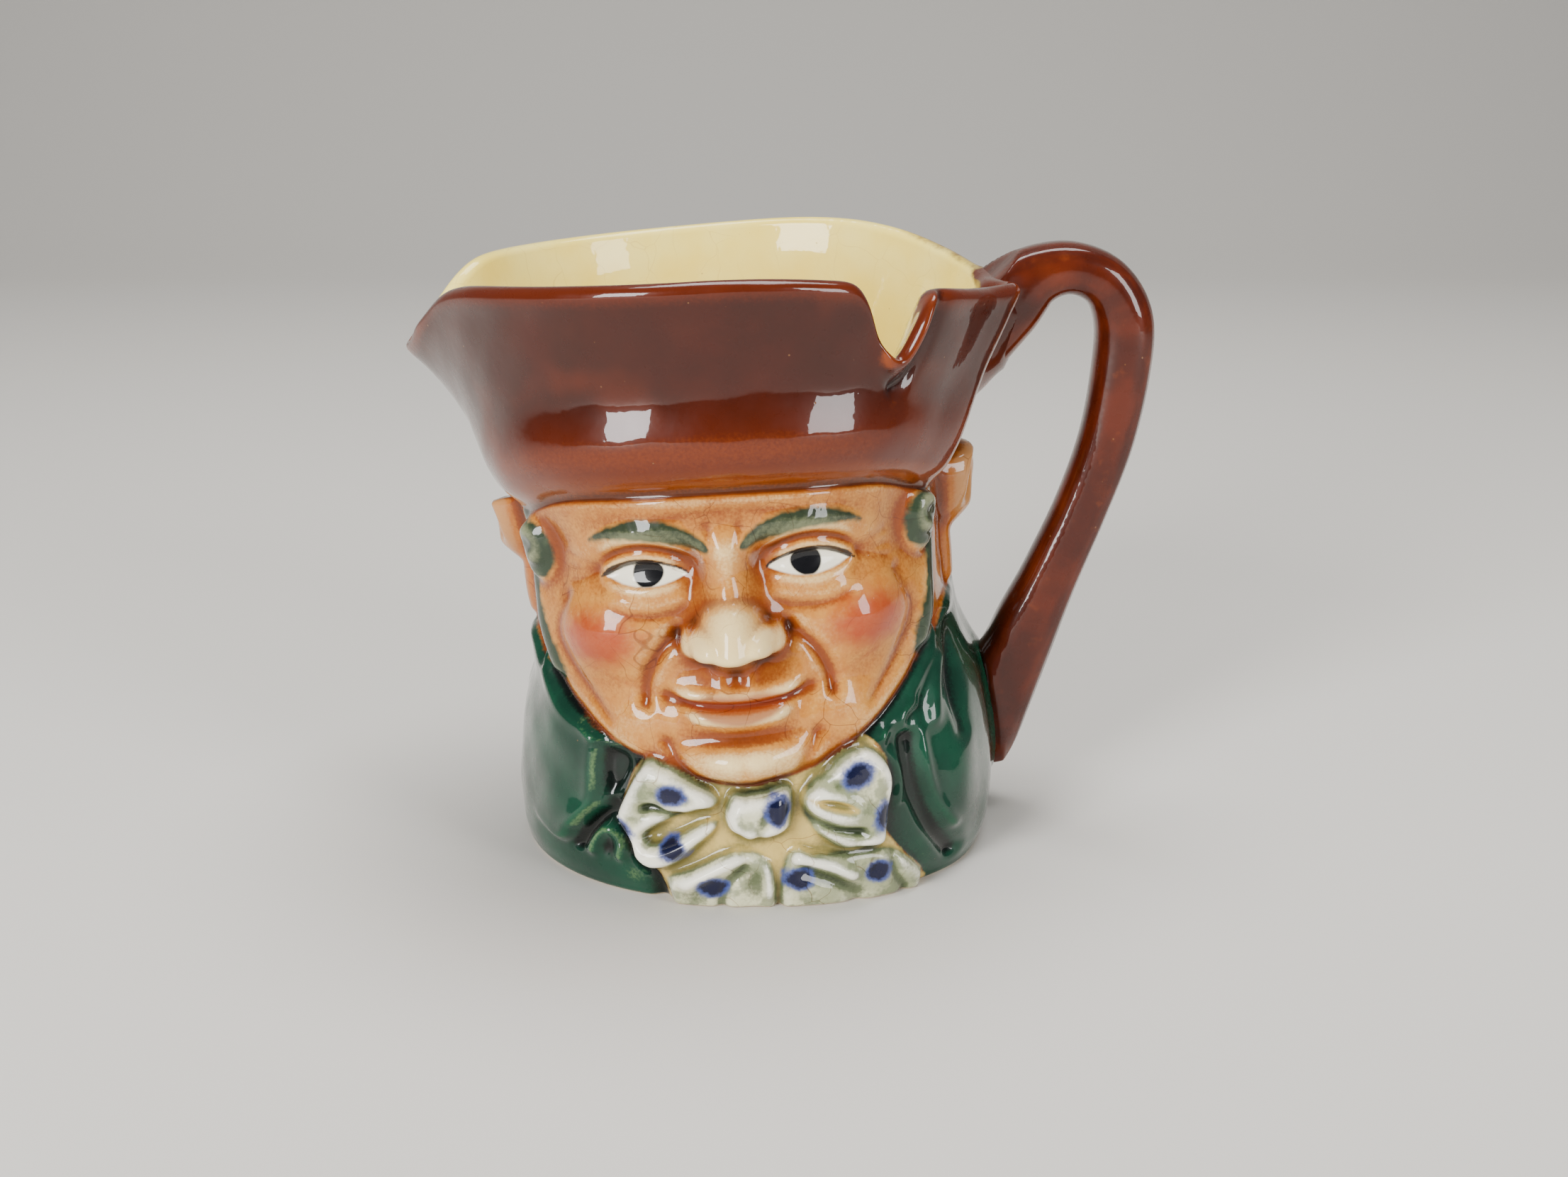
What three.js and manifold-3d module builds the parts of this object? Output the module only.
// A character jug: one hollow, glazed earthenware jug in the shape of a stout gentleman's head.
// The head wears a cocked hat whose turned-up brim is the rim of the jug. Below it are a coat
// with a stand-up collar and a spotted bow, and a strap handle joins the hat to the coat.
// Millimetres, +Z up, the face looks along -Y and the handle is on the +X side.
import * as THREE from "three";
import { mergeVertices } from "three/addons/utils/BufferGeometryUtils.js";
import Module from "manifold-3d";

const wasm = await Module();
wasm.setup();

// Driving dimensions
const RIM_HEIGHT = 83.2;
const WALL = 3.0;
const RIM_ROUND = 0.8;
const FLOOR_HEIGHT = 4.4;
const FOOT_RECESS = 1.2;
const FOOT_WIDTH = 4.5;
const FOOT_ROUND = 0.9;
const HEAD_TILT = THREE.MathUtils.degToRad(4.8);
const TILT_FROM = 2;
const TILT_TO = 26;
const TILT_PIVOT = 8;

// The plain form at several heights: half widths left and right, half depths front and back,
// and the exponent of the oval section, where 2 is an ellipse and less is more pointed.
const FORM = {
  height: [0, 3, 10, 20, 28, 38, 48, 56, 64, 73, 84],
  left: [32.4, 33.0, 33.2, 31.6, 28.8, 28.6, 28.4, 30.4, 32.8, 34.2, 35.2],
  right: [32.4, 33.4, 34.0, 32.8, 29.8, 28.8, 28.8, 30.2, 33.4, 37.0, 39.5],
  front: [30.6, 31.4, 31.4, 30.0, 28.4, 28.0, 28.4, 30.2, 31.6, 33.4, 36.0],
  back: [28.6, 30.4, 31.4, 30.8, 29.6, 29.0, 29.2, 30.2, 31.0, 31.8, 32.4],
  power: [2.2, 2.2, 2.2, 2.2, 2.2, 2.2, 2.2, 2.15, 2.1, 2.0, 2.0],
};

// Bearings in degrees round the jug: 0 is the front, 90 the handle side.
const SPOUT = -90;
const CORNER = 84;
const EAR = 88;
const NOTCH = 41;

// Grid of the surface
const COLUMNS = 76;
const HEAD_ROWS = 38;
const HAT_ROWS = 7;
const LINING_ROWS = 7;

const { abs, sin, cos, exp, hypot, min, max, sqrt, PI } = Math;
const degrees = THREE.MathUtils.radToDeg;
const radians = THREE.MathUtils.degToRad;
const step = THREE.MathUtils.smoothstep; // step(value, from, to)

// A hill of height 1 that fades like a bell; rx and rz are the distances at which it is down to 1/e.
const bell = (x, z, rx, rz) => exp(-((x / rx) ** 2) - (z / rz) ** 2);

// A hill of height 1 with a definite edge at rx, rz. A low power gives steep sides and a full top.
const dome = (x, z, rx, rz, power = 1) => max(0, 1 - (x / rx) ** 2 - (z / rz) ** 2) ** power;

// A ridge of height 1 along a straight stroke between two points, fading over the given width.
function stroke(x, z, from, to, width) {
  const run = [to[0] - from[0], to[1] - from[1]];
  const along = ((x - from[0]) * run[0] + (z - from[1]) * run[1]) / (run[0] ** 2 + run[1] ** 2);
  const t = min(1, max(0, along));
  return exp(-((hypot(x - from[0] - t * run[0], z - from[1] - t * run[1]) / width) ** 2));
}

// Signed angle in degrees from a bearing.
const bearingFrom = (angle, bearing) =>
  THREE.MathUtils.euclideanModulo(degrees(angle) - bearing + 180, 360) - 180;

// A smooth curve through a table of values at given heights.
function between(heights, values, z) {
  const last = heights.length - 1;
  let i = 0;
  while (i < last - 1 && z > heights[i + 1]) i += 1;
  const slope = (k) => {
    const a = max(0, k - 1);
    const b = min(last, k + 1);
    return (values[b] - values[a]) / (heights[b] - heights[a]);
  };
  const h = heights[i + 1] - heights[i];
  const t = min(1, max(0, (z - heights[i]) / h));
  return (
    values[i] * (1 + 2 * t) * (1 - t) ** 2 +
    slope(i) * h * t * (1 - t) ** 2 +
    values[i + 1] * t * t * (3 - 2 * t) +
    slope(i + 1) * h * t * t * (t - 1)
  );
}

// Radius of the plain oval form.
function plainRadius(angle, z) {
  const side = between(FORM.height, sin(angle) < 0 ? FORM.left : FORM.right, z);
  const depth = between(FORM.height, cos(angle) > 0 ? FORM.front : FORM.back, z);
  const power = between(FORM.height, FORM.power, z);
  return (abs(sin(angle) / side) ** power + abs(cos(angle) / depth) ** power) ** (-1 / power);
}

// Height of the hat's lower edge: high on the brow, lower over the ears and lowest at the nape.
function hatEdge(angle) {
  const overEar = 3.6 * exp(-((bearingFrom(angle, 94) / 13) ** 2));
  return 49.5 + 6.7 * max(0, cos(angle)) ** 0.9 - 3 * max(0, -cos(angle)) - 0.8 * sin(angle) + overEar;
}

// Height of the rim: it falls towards the handle and at the spout, and the brim has a V cut in it.
function rimHeight(angle) {
  const fall = 7.9 * max(0, sin(angle)) ** (cos(angle) > 0 ? 2 : 4) + 0.8 * max(0, -cos(angle)) ** 2;
  const fromSpout = bearingFrom(angle, SPOUT);
  const spout = 10.4 * exp(-((abs(fromSpout) / (fromSpout > 0 ? 17 : 10)) ** 1.7));
  const fromNotch = bearingFrom(angle, NOTCH);
  const side = fromNotch < 0 ? { width: 5.5, power: 2.2 } : { width: 6.6, power: 1.7 };
  const notch = 8 * exp(-((abs(fromNotch) / side.width) ** side.power));
  return RIM_HEIGHT - fall - spout - notch;
}

// The hat: a full band at its foot, a beak drawn out at the spout and a fold at the handle side.
function hatRelief(angle, z) {
  const above = z - hatEdge(angle);
  const rise = max(0, above / 25);
  const fromSpout = bearingFrom(angle, SPOUT);
  const beakSide = exp(-((abs(fromSpout) / (fromSpout > 0 ? 13 : 8)) ** 1.35));
  const beak = 9.4 * min(1, rise) ** 2.5 * beakSide;
  const fold = 3.2 * min(1, rise) * exp(-((bearingFrom(angle, CORNER) / 9) ** 2));
  const band = (0.4 + 0.9 * max(0, cos(angle))) * exp(-(((above - 5) / 4) ** 2));
  const lip = 1.6 * bell(bearingFrom(angle, NOTCH + 3), z - RIM_HEIGHT + 13, 7, 3);
  return 1.6 * step(above, -0.6, 0.8) + beak + fold + band + lip;
}

// Heights and places of a face of common proportions, where brow to nose and nose to chin are even.
const BROW = 50.6;
const EYE = 45.6;
const EYE_X = 9.8;
const NOSE_BASE = 34.4;
const MOUTH = 28.2;
const CHIN = 21.4;
const JAW = { middle: 35.5, half: 25.5, drop: 18.3 };

// Distance in mm inside the outline of the jaw, an oval that runs straight up to the hat.
function insideJaw(x, z) {
  const down = max(0, JAW.middle - z) / JAW.drop;
  return (1 - sqrt((x / JAW.half) ** 2 + down ** 2)) * JAW.drop;
}

function noseRelief(x, z) {
  const down = min(1, max(0, (BROW - z) / (BROW - NOSE_BASE)));
  const ends = step(z, NOSE_BASE - 1.6, NOSE_BASE + 1) * (1 - step(z, BROW - 2, BROW + 3));
  const bridge = (1.6 + 4.4 * down ** 1.2) * exp(-((x / (2.6 + 1.4 * down)) ** 2)) * ends;
  const tip = 2.6 * dome(x, z - NOSE_BASE - 3, 4.8, 4.4, 0.8);
  const wings = 3.0 * dome(abs(x) - 4.6, z - NOSE_BASE - 2.2, 3, 3, 0.7);
  return bridge + tip + wings;
}

function mouthRelief(x, z) {
  const muzzle = 1.8 * bell(x, z - MOUTH - 0.6, 11, 6.5);
  const upperLip = 1.3 * bell(x, z - MOUTH - 1.9, 7.5, 1.5);
  const lowerLip = 1.7 * bell(x, z - MOUTH + 2.1, 6.2, 1.7);
  const line = 1.5 * bell(x, z - MOUTH - 0.02 * x * x, 6.5, 0.9);
  const under = 1.5 * bell(x, z - MOUTH + 4.9, 6.5, 1.6);
  return muzzle + upperLip + lowerLip - line - under;
}

function faceRelief(x, z) {
  const side = abs(x);
  const brow = 1.9 * bell(side - 9.5, z - BROW + 0.03 * (side - 9) ** 2, 6.5, 1.8);
  const socket = 3.2 * bell(side - EYE_X + 0.6, z - EYE - 0.4, 6, 3.6);
  const eye = 3.4 * dome(side - EYE_X, z - EYE, 5.2, 3.2, 0.7);
  const cheek = 3.0 * bell(side - 15.5, z - NOSE_BASE - 3, 6.5, 5.6);
  const chin = 3.8 * bell(x, z - CHIN, 7.5, 4);
  return brow - socket + eye + cheek + chin + noseRelief(x, z) + mouthRelief(x, z);
}

// An ear: a full outer curl with a hollow in it and a lobe below.
function earRelief(angle, z) {
  const along = (abs(bearingFrom(angle, 0)) - EAR) * 0.5;
  const up = z - 46.4;
  const whole = dome(along, up, 5.4, 9.6, 0.7);
  const hollow = dome(along + 0.8, up - 1.2, 3, 5.4, 1);
  return 5.6 * whole - 2.8 * hollow;
}

// Hair: a rolled lock before each ear, and wavy locks round the back of the head.
function hairRelief(angle, z) {
  const turn = abs(bearingFrom(angle, 0));
  const lock = 2.4 * dome((turn - 60) * 0.5, z - 46.4, 3.6, 4.8, 0.6);
  const sideburn = 1.4 * bell((turn - 65) * 0.5, z - 37, 2.4, 6);
  const wave = 0.8 * cos(radians(turn * 12) + 1.2 * sin(z / 4));
  return lock + sideburn + step(turn, 100, 110) * (1.1 + wave);
}

// Height of the collar's top edge where it stands round the head.
const collarTop = (angle) => 30 + 1.5 * step(abs(bearingFrom(angle, 0)), 110, 170);

// The coat: a stand-up collar with a turned-down leaf, a buttonhole and long folds.
function coatRelief(angle, x, z) {
  const front = cos(angle) > 0.1;
  const below = collarTop(angle) - z;
  const inside = front && abs(x) < JAW.half ? -insideJaw(x, z) : below;
  const edge = step(inside, -0.6, 1.4);
  const collar = 1.3 * edge * (1 - step(below, 12, 15));
  if (!front) return 1.2 * edge + collar;
  const leafEdge = -18.6 - 0.5 * max(0, 15.5 - z);
  const onLeaf = step(x, -31, -24) * (1 - step(x, leafEdge - 0.9, leafEdge + 0.9));
  const leaf = 1.5 * onLeaf * (1 - step(z, 24, 27));
  const buttonhole =
    1.5 * max(stroke(x, z, [-22, 7], [-20, 12], 1.1), stroke(x, z, [-20, 12], [-16.8, 7.5], 1.1));
  const gap = 1.6 * stroke(x, z, [19, 21], [19.6, 8.5], 1.4);
  const folds =
    1.2 * stroke(x, z, [23, 19], [26.5, 8], 1.8) + 1.1 * stroke(x, z, [27, 29], [31, 16], 1.8);
  return edge * (1.0 + leaf + buttonhole + folds - gap) + 0.8 * collar;
}

// The bow at the throat: a knot, two folded loops, and two tails that spread to the foot.
function bowRelief(x, z) {
  const knot = 4.6 * dome(x - 1.5, z - 14, 4.6, 3.8, 0.7);
  const leftLoop =
    4.2 * dome(x + 10.8, z - 13.6, 7.6, 9.0, 0.6) - 2.2 * stroke(x, z, [-12.6, 13], [-4.5, 15], 1.6);
  const rightLoop =
    4.2 * dome(x - 13, z - 15.2, 7.4, 8.4, 0.6) -
    2.2 * stroke(x, z, [7.5, 15.6], [14.5, 13.8], 1.5) -
    1.2 * stroke(x, z, [7, 12], [12, 10], 1.2);
  const leftTail =
    2.8 * dome(x + 3.8, z - 3.2, 8.2, 7.0, 0.6) + 0.9 * stroke(x, z, [-2, 9], [-9, 5], 1.4);
  const rightTail =
    2.8 * dome(x - 12, z - 3.4, 10.4, 6.6, 0.6) + 0.9 * stroke(x, z, [7, 8.5], [13.8, 5], 1.4);
  return max(knot, leftLoop, rightLoop, leftTail, rightTail);
}

// All the relief on the outside, in mm out from the plain form.
function relief(angle, z) {
  if (z >= hatEdge(angle)) return hatRelief(angle, z);
  const x = plainRadius(angle, z) * sin(angle);
  const coat = coatRelief(angle, x, z);
  const overHair = step(z, collarTop(angle) - 0.5, collarTop(angle) + 1);
  const sideHead = overHair * (max(earRelief(angle, z), 0) + hairRelief(angle, z));
  if (cos(angle) <= 0.1) return coat + sideHead;
  const inJaw = insideJaw(x, z);
  const head = step(inJaw, -1, 1.8) * (1.6 + faceRelief(x, z));
  const bow = bowRelief(x, z) * (1 - step(inJaw, -0.8, 1));
  return max(head, coat, bow) + sideHead;
}

// Leans a point of the upright head to the left. The foot stays flat on the table.
function lean([x, y, z]) {
  const tilt = HEAD_TILT * step(z, TILT_FROM, TILT_TO);
  const up = z - TILT_PIVOT;
  return [x * cos(tilt) - up * sin(tilt), y, TILT_PIVOT + x * sin(tilt) + up * cos(tilt)];
}

const polar = (radius, angle, z) => lean([radius * sin(angle), -radius * cos(angle), z]);

// Radius of the hat's side, followed down past its lower edge for the inside of the jug.
function innerGuide(angle, z) {
  const edge = hatEdge(angle);
  const inHat = step(z, edge - 4, edge + 8);
  return plainRadius(angle, z) + inHat * hatRelief(angle, max(z, edge + 1));
}

// One column of the jug's skin: from the foot, up the outside, over the rim and down the lining.
function skinColumn(angle) {
  const foot = plainRadius(angle, 0);
  const footInside = foot - FOOT_ROUND - FOOT_WIDTH;
  const points = [
    [0.5 * footInside, FOOT_RECESS],
    [footInside - FOOT_RECESS, FOOT_RECESS],
    [footInside, 0],
    [foot - FOOT_ROUND, 0],
  ];
  const edge = hatEdge(angle);
  const rim = rimHeight(angle);
  for (let i = 0; i < HEAD_ROWS; i += 1) {
    const z = FOOT_ROUND + ((edge - 0.15 - FOOT_ROUND) * i) / (HEAD_ROWS - 1);
    points.push([plainRadius(angle, z) + relief(angle, z), z]);
  }
  for (let i = 0; i < HAT_ROWS; i += 1) {
    const z = edge + ((rim - RIM_ROUND - edge) * i) / (HAT_ROWS - 1);
    points.push([plainRadius(angle, z) + hatRelief(angle, z), z]);
  }
  const lip = plainRadius(angle, rim) + hatRelief(angle, rim);
  points.push([lip - RIM_ROUND, rim]);
  points.push([lip - WALL + RIM_ROUND, rim]);
  const liningTop = rim - RIM_ROUND;
  const liningFoot = FLOOR_HEIGHT + 3.6;
  for (let i = 0; i < LINING_ROWS; i += 1) {
    const z = liningTop + ((liningFoot - liningTop) * i) / (LINING_ROWS - 1);
    points.push([innerGuide(angle, z) - WALL, z]);
  }
  const floorEdge = plainRadius(angle, liningFoot) - 2 * WALL;
  points.push([floorEdge, FLOOR_HEIGHT + 0.7]);
  points.push([0.7 * floorEdge, FLOOR_HEIGHT]);
  return points.map(([radius, z]) => polar(radius, angle, z));
}

// One column of the core that follows the middle of the wall and trims the handle's root.
function coreColumn(angle) {
  const heights = [10, 30, 46, 56, 66, 74, RIM_HEIGHT + 6];
  return heights.map((z) => polar(innerGuide(angle, z) - WALL / 2, angle, z));
}

// Bearings of the columns in radians: one at the spout's tip, then closer where there is more form.
function columnAngles() {
  const near = (bearing, middle, spread) =>
    exp(-((bearingFrom(radians(bearing), middle) / spread) ** 2));
  const fineness = (bearing) =>
    1 +
    2.4 * near(bearing, 0, 50) +
    1.5 * near(bearing, SPOUT, 12) +
    0.8 * near(bearing, NOTCH, 9) +
    1.2 * near(bearing, EAR, 12);
  const samples = Array.from({ length: 3600 }, (_, i) => SPOUT + i / 10);
  const total = samples.reduce((sum, bearing) => sum + fineness(bearing), 0);
  const angles = [];
  let share = 0;
  for (const bearing of samples) {
    if (share * COLUMNS >= angles.length) angles.push(radians(bearing));
    share += fineness(bearing) / total;
  }
  return angles;
}

// A closed solid from rings of points: neighbours are joined, and each end closes on one point.
function solidFromRings(rings, firstPole, lastPole) {
  const around = rings[0].length;
  const positions = [firstPole, ...rings.flat(), lastPole].flat();
  const at = (ring, i) => 1 + ring * around + (i % around);
  const last = 1 + rings.length * around;
  const faces = [];
  for (let i = 0; i < around; i += 1) {
    faces.push(0, at(0, i + 1), at(0, i));
    faces.push(last, at(rings.length - 1, i), at(rings.length - 1, i + 1));
    for (let r = 0; r < rings.length - 1; r += 1) {
      faces.push(at(r, i), at(r, i + 1), at(r + 1, i + 1));
      faces.push(at(r, i), at(r + 1, i + 1), at(r + 1, i));
    }
  }
  const geometry = new THREE.BufferGeometry();
  geometry.setAttribute("position", new THREE.Float32BufferAttribute(positions, 3));
  geometry.setIndex(faces);
  const merged = mergeVertices(geometry, 1e-4);
  const mesh = new wasm.Mesh({
    numProp: 3,
    vertProperties: new Float32Array(merged.attributes.position.array),
    triVerts: new Uint32Array(merged.index.array),
  });
  return new wasm.Manifold(mesh);
}

// A solid whose every column is made by the same function of the bearing.
function solidFromColumns(columnAt, firstPole, lastPole) {
  const columns = columnAngles().map(columnAt);
  const rings = columns[0].map((_, row) => columns.map((column) => column[row]));
  return solidFromRings(rings, firstPole, lastPole);
}

// The handle's middle line, with its thickness in the plane of the loop and its breadth across it.
const HANDLE_Y = 3;
const HANDLE = [
  { x: 29.6, z: 71.4, thick: 17.0, broad: 10.6 },
  { x: 34.4, z: 74.8, thick: 12.4, broad: 9.6 },
  { x: 39.2, z: 78.4, thick: 8.4, broad: 8.9 },
  { x: 44.0, z: 79.3, thick: 7.2, broad: 8.6 },
  { x: 48.6, z: 77.2, thick: 7.4, broad: 8.4 },
  { x: 51.2, z: 72.2, thick: 8.2, broad: 8.2 },
  { x: 51.2, z: 65.0, thick: 8.2, broad: 8.2 },
  { x: 49.6, z: 55.0, thick: 7.8, broad: 8.0 },
  { x: 46.4, z: 45.0, thick: 7.6, broad: 8.0 },
  { x: 42.4, z: 35.0, thick: 8.2, broad: 8.2 },
  { x: 38.6, z: 25.5, thick: 9.6, broad: 8.6 },
  { x: 36.2, z: 16.5, thick: 8.6, broad: 8.2 },
  { x: 34.8, z: 9.4, thick: 6.6, broad: 7.2 },
  { x: 33.4, z: 4.6, thick: 2.6, broad: 4.6 },
];
const HANDLE_STEPS = 26;
const HANDLE_SIDES = 10;

function handleSolid() {
  const line = new THREE.CatmullRomCurve3(HANDLE.map((p) => new THREE.Vector3(p.x, HANDLE_Y, p.z)));
  const sizes = new THREE.CatmullRomCurve3(HANDLE.map((p) => new THREE.Vector3(p.thick, p.broad, 0)));
  const across = new THREE.Vector3(0, 1, 0);
  const rings = [];
  for (let i = 0; i <= HANDLE_STEPS; i += 1) {
    const t = i / HANDLE_STEPS;
    const middle = line.getPoint(t);
    const outward = new THREE.Vector3().crossVectors(line.getTangent(t), across).normalize();
    const size = sizes.getPoint(t);
    const ring = [];
    for (let k = 0; k < HANDLE_SIDES; k += 1) {
      const a = (-2 * PI * (k + 0.5)) / HANDLE_SIDES;
      const round = 0.5 / (abs(cos(a)) ** 2.6 + abs(sin(a)) ** 2.6) ** (1 / 2.6);
      const point = middle
        .clone()
        .addScaledVector(outward, size.x * round * cos(a))
        .addScaledVector(across, size.y * round * sin(a));
      ring.push(point.toArray());
    }
    rings.push(ring);
  }
  return solidFromRings(rings, line.getPoint(0).toArray(), line.getPoint(1).toArray());
}

// A three.js geometry from a manifold solid.
function geometryOf(solid) {
  const mesh = solid.getMesh();
  const geometry = new THREE.BufferGeometry();
  geometry.setAttribute("position", new THREE.Float32BufferAttribute(mesh.vertProperties, 3));
  geometry.setIndex(new THREE.Uint32BufferAttribute(mesh.triVerts, 1));
  geometry.computeVertexNormals();
  return geometry;
}

const glaze = new THREE.MeshStandardMaterial({ color: 0x4a1c0c, roughness: 0.15, metalness: 0 });
const body = solidFromColumns(skinColumn, [0, 0, FOOT_RECESS], lean([0, 0, FLOOR_HEIGHT]));
const core = solidFromColumns(coreColumn, lean([0, 0, 10]), lean([0, 0, RIM_HEIGHT + 6]));
const jug = new THREE.Mesh(geometryOf(body.add(handleSolid().subtract(core))), glaze);
jug.name = "jug";

// The origin is on the table, under the middle of the whole jug, handle included.
const middle = new THREE.Box3().setFromObject(jug).getCenter(new THREE.Vector3());
jug.position.set(-middle.x, -middle.y, 0);

const part = new THREE.Group();
part.add(jug);

export default part;
